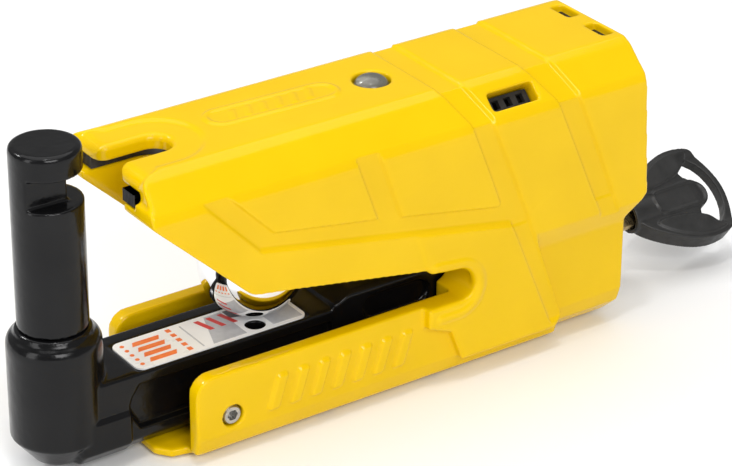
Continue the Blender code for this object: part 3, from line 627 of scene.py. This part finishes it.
def shape_sides(points):
    """Press the frame, the panels and the straps into both sides."""
    x, y, z = points.T
    depth = side_depth(x, z)
    lower = smoothstep((z - 5.2) / 1.0)
    limit = np.where(z < 31.0, FLANK_HALF, HALF) - depth * lower
    away = (np.abs(y) > 16.9) & (np.abs(y) < FLANK_HALF + 0.1)
    bead = (x > 71) & (x < 87.5) & (z < 30.5)
    held = np.where(away & ~bead & (depth > 0.001), np.minimum(np.abs(y), limit), np.abs(y))
    points[:, 1] = np.sign(y) * held


def shape_shoulders(points):
    """Carry the two straps over the shoulders' slopes and across the top."""
    x, y, z = points.T
    (y0, z0), (y1, z1) = SHOULDER
    normal = np.array([z0 - z1, y1 - y0]) / math.hypot(z0 - z1, y1 - y0)
    plane = normal @ np.array([y0, z0])
    depth = np.zeros(len(points))
    for top, side in (((78.4, 83.9), (82.3, 87.3)), ((98.3, 104.7), (102.7, 107.8))):
        left = line_at(np.abs(y), [(11.6, top[0]), (HALF, side[0])])
        right = line_at(np.abs(y), [(11.6, top[1]), (HALF, side[1])])
        depth = np.maximum(depth, edge(x - left) * edge(right - x))
    over = normal[0] * np.abs(y) + normal[1] * z - (plane - GROOVE * depth)
    over = np.where((over > 0) & (depth > 0.001) & (z > 50) & (np.abs(y) > 8), over, 0)
    points[:, 1] -= np.sign(y) * normal[0] * over
    points[:, 2] -= normal[1] * over
    top = TOP_Z - GROOVE * depth
    held = np.where((points[:, 2] > top) & (depth > 0.001), top, points[:, 2])
    points[:, 2] = held


def shape_nose(points):
    """Round the slot's lips and the front edge, and sink a ring around the slot."""
    x, y, z = points.T
    slot = np.maximum(distance(neck_slot_outline(), x, y), 0)
    front = np.maximum(x - line_at(np.abs(y), FRONT_EDGE), 0)
    limit = np.full(len(points), TOP_Z)
    for away, radius in ((slot, SLOT_LIP), (front, FRONT_LIP)):
        gone = np.clip(radius - away, 0, radius)
        limit = np.minimum(limit, TOP_Z - radius + np.sqrt(radius ** 2 - gone ** 2))
    limit = limit - 0.4 * smoothstep((6.6 - slot) / 1.3)
    upper = (z > PLATE_LOW + 0.3) & (x < 40)
    points[:, 2] = np.where(upper & (z > limit), limit, z)


def raise_marks(points):
    """Raise the oval's rim and its bars on the top, and the slanting bars on the rails."""
    x, y, z = points.T
    pad = distance(pill_outline(*PAD), x, y)
    ring = smoothstep((0.75 - np.abs(pad + 0.4)) / 0.5)
    bars = np.zeros(len(points))
    for i in range(6):
        middle = 40.5 + 3.4 * i
        bar = [(middle - 1.6, -0.7), (middle - 0.4, -0.7), (middle + 1.4, 3.1), (middle + 0.2, 3.1)]
        bars = np.maximum(bars, within(bar, x, y, 0.6))
    top = (z > TOP_Z - 0.3) & (np.abs(y) < 9)
    points[:, 2] += np.where(top, PAD_RISE * np.maximum(ring, 0.7 * bars), 0)
    rail = np.zeros(len(points))
    for i in range(7):
        foot = 36.0 + 4.8 * i
        bar = rounded([(foot, 7.5), (foot + 2.5, 7.5), (foot + 4.8, 14.6), (foot + 2.3, 14.6)], 0.8)
        rail = np.maximum(rail, within(bar, x, z, 0.45))
    outer = (np.abs(y) > 16.0) & (np.abs(y) < 17.2) & (z < 18) & (x < 72)
    points[:, 1] += np.where(outer, np.sign(y) * RAIL_RISE * rail, 0)


def pill_outline(centre, long, half, turn):
    """A pill-shaped outline turned by degrees."""
    reach = long - half
    raw = arc((reach, 0), half, -90, 90, 16) + arc((-reach, 0), half, 90, 270, 16)
    c, s = math.cos(math.radians(turn)), math.sin(math.radians(turn))
    return [(centre[0] + c * x - s * y, centre[1] + s * x + c * y) for x, y in raw]


def make_housing(paint):
    """The cast and painted housing."""
    body = add_flanks(hollow_out(housing_shell()))
    remesh(body, HOUSING_GRID, 8)
    points = points_of(body)
    shape_sides(points)
    shape_shoulders(points)
    shape_nose(points)
    raise_marks(points)
    set_points(body, points)
    modify(body, "SMOOTH", factor=0.5, iterations=1)
    thin_out(body, HOUSING_MOST)
    return finish_piece(body, "housing_body", ["housing"], paint)


# ---------------------------------------------------------------- bolt


def beam_section(half, top, chamfer):
    """A beam's (y, z) outline with chamfered lower edges."""
    return [
        (half - 2.4, BEAM_LOW), (half, BEAM_LOW + 2.6), (half, top - chamfer),
        (half - chamfer, top), (chamfer - half, top), (-half, top - chamfer),
        (-half, BEAM_LOW + 2.6), (2.4 - half, BEAM_LOW),
    ]


def make_beam(paint):
    """The bolt's painted beam with its boss, gusset and rear block."""
    boss = [
        (0.0, 30.0), (7.0, 30.0), (7.3, 29.7), (7.45, 29.1), (7.7, 28.75), (8.0, 28.6),
        (8.5, 28.2), (8.9, 27.3), (BOSS_R, 26.5), (BOSS_R, 7.6), (4.8, BEAM_LOW), (0.0, BEAM_LOW),
    ]
    body = lathe("visual_bolt_beam", 0, 0, boss, 96)
    rear = prism("rear_block", "X", beam_section(BLOCK_HALF, BLOCK_TOP, 0.8), 57.0, BEAM_END)
    ramp = [(55.0, BEAM_TOP - 0.4), (55.0, 30), (64, 30), (61.5, BLOCK_TOP + 0.4)]
    cut(rear, prism("ramp", "Y", ramp, -20, 20))
    for side in (-1, 1):
        flare = [(55.0, side * 7.6), (61.5, side * 9), (61.5, side * 14), (50, side * 14)]
        pill = [*arc((66.3, 17.0), 2.6, 90, 270, 16), *arc((76.5, 17.0), 2.6, -90, 90, 16)]
        low, high = sorted((side * (BLOCK_HALF - 0.9), side * 12))
        cut(rear, prism("flare", "Z", flare, 0, 30), prism("pill", "Y", pill, low, high))
    join(body, prism("beam", "X", beam_section(BEAM_HALF, BEAM_TOP, 0.5), 0.5, 60.0),
         prism("gusset", "X", beam_section(8.6, 12.0, 1.0), 0.7, 11.0), rear)
    for side in (-1, 1):
        low, high = sorted((side * 6.0, side * 15.0))
        recess = [*arc((15.6, 12.0), 4.2, 150, 210, 8), (13.6, 7.0), (56.6, 7.0), (56.6, 16.4),
                  (13.6, 16.4)]
        cut(body, prism("side_recess", "Y", recess, low, high))
    cut(body,
        rod("tang_bore", "Z", (0, 0), 5.3, 9.7, 40),
        block("latch_notch", (72.8, 79.2), (-4.7, 4.7), (17.8, 30)),
        block("stop_groove", (57.0, 82.0), (-2.0, 2.0), (0, 5.6)),
        block("label_recess", (13.3, 51.9), (-7.4, 4.2), (BEAM_TOP - 0.45, 30)),
        rod("dimple", "Z", DIMPLE, DIMPLE_R, BEAM_TOP - 3, 30, 32),
        rod("magnet_bore", "Z", (82.0, 6.4), 1.8, 18.5, 30, 32))
    remesh(body, BEAM_GRID, 4)
    thin_out(body, BEAM_MOST)
    return finish_piece(body, "bolt", ["bolt_beam"], paint)


def make_post(paint):
    """The post with its rounded head and its flatted neck."""
    profile = [
        (0.0, POST_TOP), (POST_R - 1.0, POST_TOP), (POST_R - 0.4, POST_TOP - 0.2),
        (POST_R - 0.1, POST_TOP - 0.6), (POST_R, POST_TOP - 1.1), (POST_R, 30.3), (5.0, 30.3),
        (5.0, 10.6), (4.4, 10.0), (0.0, 10.0),
    ]
    post = lathe("visual_bolt_post", 0, 0, profile, 96)
    for side in (-1, 1):
        y = sorted((side * 3.05, side * 12))
        cut(post, block("flat", (-12, 12), y, (56.0, 62.0)))
    cut(post, block("front_flat", (2.6, 12), (-12, 12), (56.0, 62.0)))
    remesh(post, POST_GRID, 5)
    return finish_piece(post, "bolt", ["bolt_post"], paint)


def add_marks(label, outlines, index, z, thick=0.06):
    """Lay flat printed shapes on the label, all with one of its materials."""
    for outline in outlines:
        mark = prism("mark", "Z", outline, z - 0.02, z + thick)
        for face in mark.data.polygons:
            face.material_index = index
        merge(label, mark)


def slanted(x, y, long, wide, lean):
    """A slanting bar from its middle, as a four-point outline."""
    return [(x - wide / 2 - lean, y - long / 2), (x + wide / 2 - lean, y - long / 2),
            (x + wide / 2 + lean, y + long / 2), (x - wide / 2 + lean, y + long / 2)]


def make_label(inks):
    """The beam's label: a thin film with plain generic marks."""
    outline = [
        *arc((15.6, -5.3), 1.9, 180, 270, 8), *arc((49.6, -5.3), 1.9, -90, 0, 8),
        *arc((49.6, 2.1), 1.9, 0, 90, 8), *arc((15.6, 2.1), 1.9, 90, 180, 8),
    ]
    top = BEAM_TOP + 0.02
    label = prism("visual_beam_label", "Z", outline, BEAM_TOP - 0.3, top)
    cut(label, rod("hole", "Z", DIMPLE, DIMPLE_R, 15, 22, 32))
    dots = [arc((15.5, -5.4 + 1.9 * i), 0.45, 0, 360, 12)[:-1] for i in range(5)]
    bars = [slanted(20.4, -4.9 + 2.2 * i, 1.35, 5.8, 0.35) for i in range(4)]
    dashes = [slanted(25.9, -5.4 + 2.0 * i, 1.1, 1.0, 0.0) for i in range(5)]
    add_marks(label, dots + bars + dashes, 1, top)
    grey = [[(30.6, -6.4), (38.0, -6.4), (38.0, 3.2), (34.2, 3.2)],
            [(44.0, -6.4), (50.6, -6.4), (50.6, 3.2), (44.0, 3.2)]]
    lines = [slanted(28.6, -1.6, 9.0, 0.3, 0.0)]
    add_marks(label, grey + lines, 2, top)
    add_marks(label, [[(38.4, 0.4), (43.2, -1.0), (43.2, 3.2), (38.4, 3.2)]], 3, top)
    arrows = []
    for i in range(3):
        x = 31.6 + 2.6 * i
        arrows.append([(x, 2.6), (x + 1.0, 2.6), (x + 2.2, -1.6), (x + 1.2, -1.6)])
    add_marks(label, arrows, 4, top + 0.05)
    made = [inks["label_print"], inks["ink_orange"], inks["ink_grey"], inks["ink_dark"],
            inks["ink_red"]]
    indices = [face.material_index for face in label.data.polygons]
    finish_piece(label, "bolt", ["beam_label"], made, 30)
    label.data.polygons.foreach_set("material_index", indices)
    return label


# ---------------------------------------------------------------- fittings


def make_dome(chrome):
    """The polished dome in the mouth."""
    rise = math.degrees(math.asin((DOME_CUT_Z - DOME_Z) / DOME_R))
    bowl = arc((0, DOME_Z), DOME_R, rise, -90, 64)
    profile = [(0.0, 47.0), (3.6, 47.0), (4.0, 46.6), (4.0, DOME_CUT_Z)] + bowl
    profile[-1] = (0.0, DOME_Z - DOME_R)
    dome = lathe("visual_dome", DOME_X, 0, profile, 128)
    return finish_piece(dome, "housing_body", ["disc_stop_dome"], chrome, 35)


def make_guide(steel):
    """The fork under the nose's plate, its front faces finely ribbed."""
    ribs = []
    for i in range(8):
        y = 7.05 + 0.5 * i
        ribs += [(11.6, y), (11.6, y + 0.2), (11.85, y + 0.3), (11.85, y + 0.45)]
    outline = [(x, -y) for x, y in reversed(ribs)]
    outline += arc((SLOT_END, 0), 11.2, -90, 90, 32)
    outline += [(x + 1.6, y) for x, y in reversed(ribs)] + [(13.6, 7.0)]
    outline += arc((SLOT_END, 0), 7.0, 90, -90, 32) + [(12.4, -7.0)]
    guide = prism("visual_guide", "Z", outline, 55.2, 57.7)
    return finish_piece(guide, "housing_body", ["neck_guide"], steel, 30)


def make_set_screws(steel):
    """The two socket set screws with chamfered rims."""
    for side, name in SIDES:
        rings = [(0.0, 13.4), (1.6, 13.4), (2.0, 13.8), (2.0, 15.6), (1.7, 16.0), (0.0, 16.0)]
        screw = lathe("visual_set_screw_" + name, 0, 0, rings, 48)
        cut(screw, rod("socket", "Z", (0, 0), 1.15, 14.4, 20, 6))
        turn = Matrix.Rotation(math.radians(-90 * side), 4, "X")
        screw.data.transform(Matrix.Translation((SET_SCREW[0], 0, SET_SCREW[1])) @ turn)
        finish_piece(screw, "housing_body", ["set_screw_" + name], steel, 30)


def make_lens(glass):
    """The status light's domed lens."""
    profile = [(0.0, TOP_Z + 0.9), (0.9, TOP_Z + 0.82), (1.8, TOP_Z + 0.58), (2.6, TOP_Z + 0.15),
               (3.1, TOP_Z - 0.35), (3.4, TOP_Z - 1.1), (3.4, 57.4), (0.0, 57.4)]
    lens = lathe("visual_led_lens", LED_X, 0, profile, 64)
    return finish_piece(lens, "housing_body", ["led_lens"], glass, 50)


def make_rear_cover(plastic):
    """The alarm's rear cover, with a raised rim and ribs."""
    cover = prism("visual_rear_cover", "X", octagon(13.5, 34.9, 56.9, 1.6), 122.4, 124.2)
    cut(cover, prism("panel", "X", octagon(9.0, 37.0, 54.8, 2.0), 123.6, 130))
    for side in (-1, 1):
        for screw_y, z in COVER_SCREWS:
            cut(cover, rod("hole", "X", (side * screw_y, z), 1.4, 120, 130, 32),
                rod("head_room", "X", (side * screw_y, z), 2.1, 123.3, 130, 32))
    for i in range(5):
        z = 39.4 + 3.2 * i
        join(cover, block("rib", (123.4, 124.0), (-7.0, 7.0), (z, z + 1.2)))
    modify(cover, "BEVEL", width=0.25, segments=3, limit_method="ANGLE", angle_limit=0.6)
    return finish_piece(cover, "housing_body", ["rear_cover"], plastic, 40)


# ---------------------------------------------------------------- key


def turn_key(item):
    """Turn a piece about the key's axis to where it stands at rest."""
    axis = Matrix.Translation((0, 0, KEY_Z))
    turn = Matrix.Rotation(math.radians(KEY_TILT), 4, "X")
    item.data.transform(axis @ turn @ axis.inverted())
    return item


def mirrored(half):
    """Close a half outline by its mirror image."""
    return half + [(x, -w) for x, w in reversed(half) if abs(w) > 0.01]


def softened(points, rounds=2):
    """Cut a closed outline's corners again and again until it is smooth."""
    for _ in range(rounds):
        ahead = points[1:] + points[:1]
        pairs = [((0.75 * ax + 0.25 * bx, 0.75 * ay + 0.25 * by),
                  (0.25 * ax + 0.75 * bx, 0.25 * ay + 0.75 * by))
                 for (ax, ay), (bx, by) in zip(points, ahead)]
        points = [spot for pair in pairs for spot in pair]
    return points


def bow_outline():
    """The bow's outline from above, a rounded triangle."""
    return mirrored([
        (136.8, 2.4), (138.3, 4.3), (140.3, 5.9), (142.6, 7.4), (145.2, 8.8), (148.0, 10.0),
        (151.0, 10.8), (154.0, 10.9), (156.6, 10.5), (158.2, 9.8), (159.2, 8.2), (160.2, 6.0),
        (161.0, 3.6), (161.4, 1.4), (161.5, 0.0),
    ])


def bow_window():
    """The curved finger window around the bow's tongue."""
    tongue = arc((153.9, 0.0), 3.2, 0, 90, 12)
    half = [(160.1, 0.0), (159.9, 2.2), (159.3, 4.3), (158.2, 6.3), (156.6, 7.9), (152.3, 5.2),
            (152.8, 4.0)] + list(reversed(tongue))
    return half + [(x, -w) for x, w in reversed(half[1:-1])]


def wing_pad(side):
    """The raised lens-shaped pad of one wing."""
    return [
        (140.6, side * 4.0), (143.8, side * 3.6), (147.9, side * 4.0), (151.8, side * 4.9),
        (155.0, side * 6.8), (157.3, side * 9.3), (154.0, side * 10.0), (151.0, side * 9.9),
        (147.8, side * 9.1), (144.0, side * 7.2), (141.6, side * 5.4),
    ]


def shape_bow(points):
    """Thin the bow's ring and raise its pads and the tongue's frame."""
    x, y, z = points.T
    h = z - KEY_Z
    face = smoothstep((np.abs(h) - 0.9) / 0.5)
    rise = np.zeros(len(points))
    for side in (-1, 1):
        rise = np.maximum(rise, 0.45 * within(softened(wing_pad(side)), x, y, 0.4))
    frame_line = distance(pill_outline((149.6, 0.0), 7.2, 2.7, 0), x, y)
    rise = np.maximum(rise, 0.35 * smoothstep((0.55 - np.abs(frame_line)) / 0.4))
    ring = smoothstep((x - 153.0) / 3.0) * smoothstep((9.6 - np.abs(y)) / 2.0)
    h = h * (1 - 0.42 * ring)
    points[:, 2] = KEY_Z + h + np.sign(h) * rise * face


def make_key(plastic, brass):
    """The key's moulded bow and its milled blade."""
    bow = prism("visual_key_bow", "Z", softened(bow_outline()), KEY_Z - 2.2, KEY_Z + 2.2)
    cut(bow, prism("window", "Z", bow_window(), 0, 30))
    join(bow, rod("stem", "X", (0, KEY_Z), 3.5, 136.4, 143.0, 48))
    cut(bow, rod("socket", "X", (0, KEY_Z), 2.7, 130, 142.4, 48))
    remesh(bow, BOW_GRID, 5)
    points = points_of(bow)
    shape_bow(points)
    set_points(bow, points)
    turn_key(bow)
    thin_out(bow, BOW_MOST)
    finish_piece(bow, "key", ["key_bow"], plastic)
    low = math.degrees(math.asin(0.9 / 2.4))
    section = arc((0, KEY_Z), 2.4, 180 - low, 360 + low, 48)
    blade = prism("visual_key_blade", "X", section, 112.2, 142.0)
    for i in range(6):
        x = 112.3 + i * 1.7
        depth = 0.35 + 0.3 * ((i * 2) % 3)
        cut(blade, block("bit", (x, x + 1.1), (2.4 - depth, 5), (KEY_Z - 4, KEY_Z + 4)))
    modify(blade, "BEVEL", width=0.15, segments=2, limit_method="ANGLE", angle_limit=0.7)
    turn_key(blade)
    finish_piece(blade, "key", ["key_blade"], brass, 40)


# ---------------------------------------------------------------- stage


def make_floor():
    """A plain pale floor."""
    bm = bmesh.new()
    bmesh.ops.create_grid(bm, x_segments=8, y_segments=8, size=3.0)
    floor = add_object("floor", bm)
    pale = Shader("floor_pale", 0.7).colour((0.86, 0.86, 0.86), (0.88, 0.88, 0.88), 3)
    floor.data.materials.append(pale.material)


def area_light(name, spot, aim, size, energy, long=None):
    """A soft rectangular light that points at a place."""
    light = bpy.data.lights.new(name, "AREA")
    light.shape = "RECTANGLE"
    light.size = size
    light.size_y = long or size
    light.energy = energy
    holder = bpy.data.objects.new(name, light)
    holder.location = spot
    holder.rotation_euler = (Vector(aim) - Vector(spot)).to_track_quat("-Z", "Y").to_euler()
    bpy.context.scene.collection.objects.link(holder)


def make_lights():
    """A pale world and plain soft studio lights."""
    world = bpy.data.worlds.new("studio")
    world.use_nodes = True
    world.node_tree.nodes["Background"].inputs["Color"].default_value = (1, 1, 1, 1)
    world.node_tree.nodes["Background"].inputs["Strength"].default_value = 0.34
    bpy.context.scene.world = world
    middle = (0.0, 0.0, 0.03)
    area_light("top", (0.05, 0.12, 0.9), middle, 1.0, 4.6)
    area_light("front", (-0.22, -0.86, 0.6), middle, 0.5, 6.6)
    area_light("left", (-0.85, -0.1, 0.35), middle, 0.3, 2.4, 0.7)
    area_light("spark", (-0.13, -0.16, 0.98), middle, 0.07, 1.1)
    area_light("back", (-0.4, 0.62, 0.76), middle, 0.12, 3.0)
    bpy.context.scene.view_settings.view_transform = "Standard"


def make_camera():
    """The camera at the photograph's viewing angle."""
    azimuth, rise, roll = math.radians(34.8), math.radians(27.53), math.radians(0.34)
    right = Vector((math.cos(azimuth), -math.sin(azimuth), 0))
    ahead = Vector((math.sin(azimuth) * math.cos(rise), math.cos(azimuth) * math.cos(rise),
                    -math.sin(rise)))
    up = right.cross(ahead)
    side = right * math.cos(roll) + up * math.sin(roll)
    top = up * math.cos(roll) - right * math.sin(roll)
    spot = Vector((68.15, -2.47, 30.0)) - ahead * 586.72
    lens = bpy.data.cameras.new("camera")
    lens.sensor_width = 36.0
    lens.lens = 148.35
    lens.clip_start = 0.01
    camera = bpy.data.objects.new("camera", lens)
    turn = Matrix((side, top, -ahead)).transposed().to_4x4()
    camera.matrix_world = Matrix.Translation(TO_FRAME @ spot) @ turn
    bpy.context.scene.collection.objects.link(camera)
    bpy.context.scene.camera = camera


# ---------------------------------------------------------------- assembly


def dress_cad(made):
    """Give every CAD node the procedural finish of its slot."""
    for row in frame["record"]["subparts"]:
        node = frame["nodes"][row["node"]]
        # Painted shade: the grille lies in the dark behind its window, so it gets the mattest
        # black, the rubber finish, in place of its own slot's finish.
        finish = made["rubber" if row["node"] == "siren_grille" else row["material_slot"]]
        if not node.material_slots:
            node.data.materials.append(finish)
        for slot in node.material_slots:
            slot.material = finish


made = make_materials()
dress_cad(made)
make_camera()
make_lights()
make_floor()
make_housing(made["yellow_paint"])
make_beam(made["black_paint"])
make_post(made["black_paint"])
make_label(made)
make_dome(made["chrome"])
make_guide(made["dark_steel"])
make_set_screws(made["steel"])
make_lens(made["clear_lens"])
make_rear_cover(made["black_plastic"])
make_key(made["black_plastic"], made["brass"])
